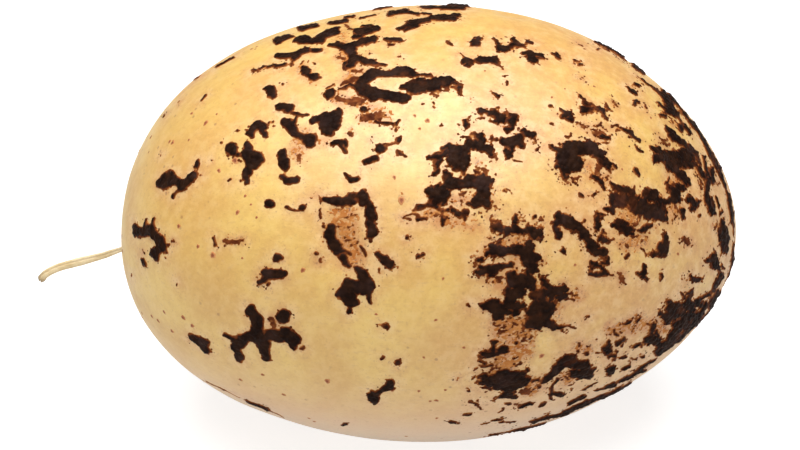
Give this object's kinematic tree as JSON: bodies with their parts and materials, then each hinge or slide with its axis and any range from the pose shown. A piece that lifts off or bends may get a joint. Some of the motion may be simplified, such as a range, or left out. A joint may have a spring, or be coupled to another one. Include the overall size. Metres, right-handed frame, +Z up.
{
  "type": "potato",
  "caption": "Oval potato tuber resting on a small flat spot, with a short dried stolon at its heel end, for cooking or display.",
  "frame": {"origin": "middle of the small flat spot that the tuber rests on", "axes": "+Z up, away from the flat spot; +X along the tuber from its heel, where the stolon joins, to its rose end; +Y across it, away from the viewer"},
  "size_m": [0.1039, 0.0679, 0.0633],
  "materials": {
    "skin": "satin",
    "dry_stolon": "matte"
  },
  "bodies": {
    "root": {"tuber": "skin", "stolon": "dry_stolon"}
  },
  "joints": []
}
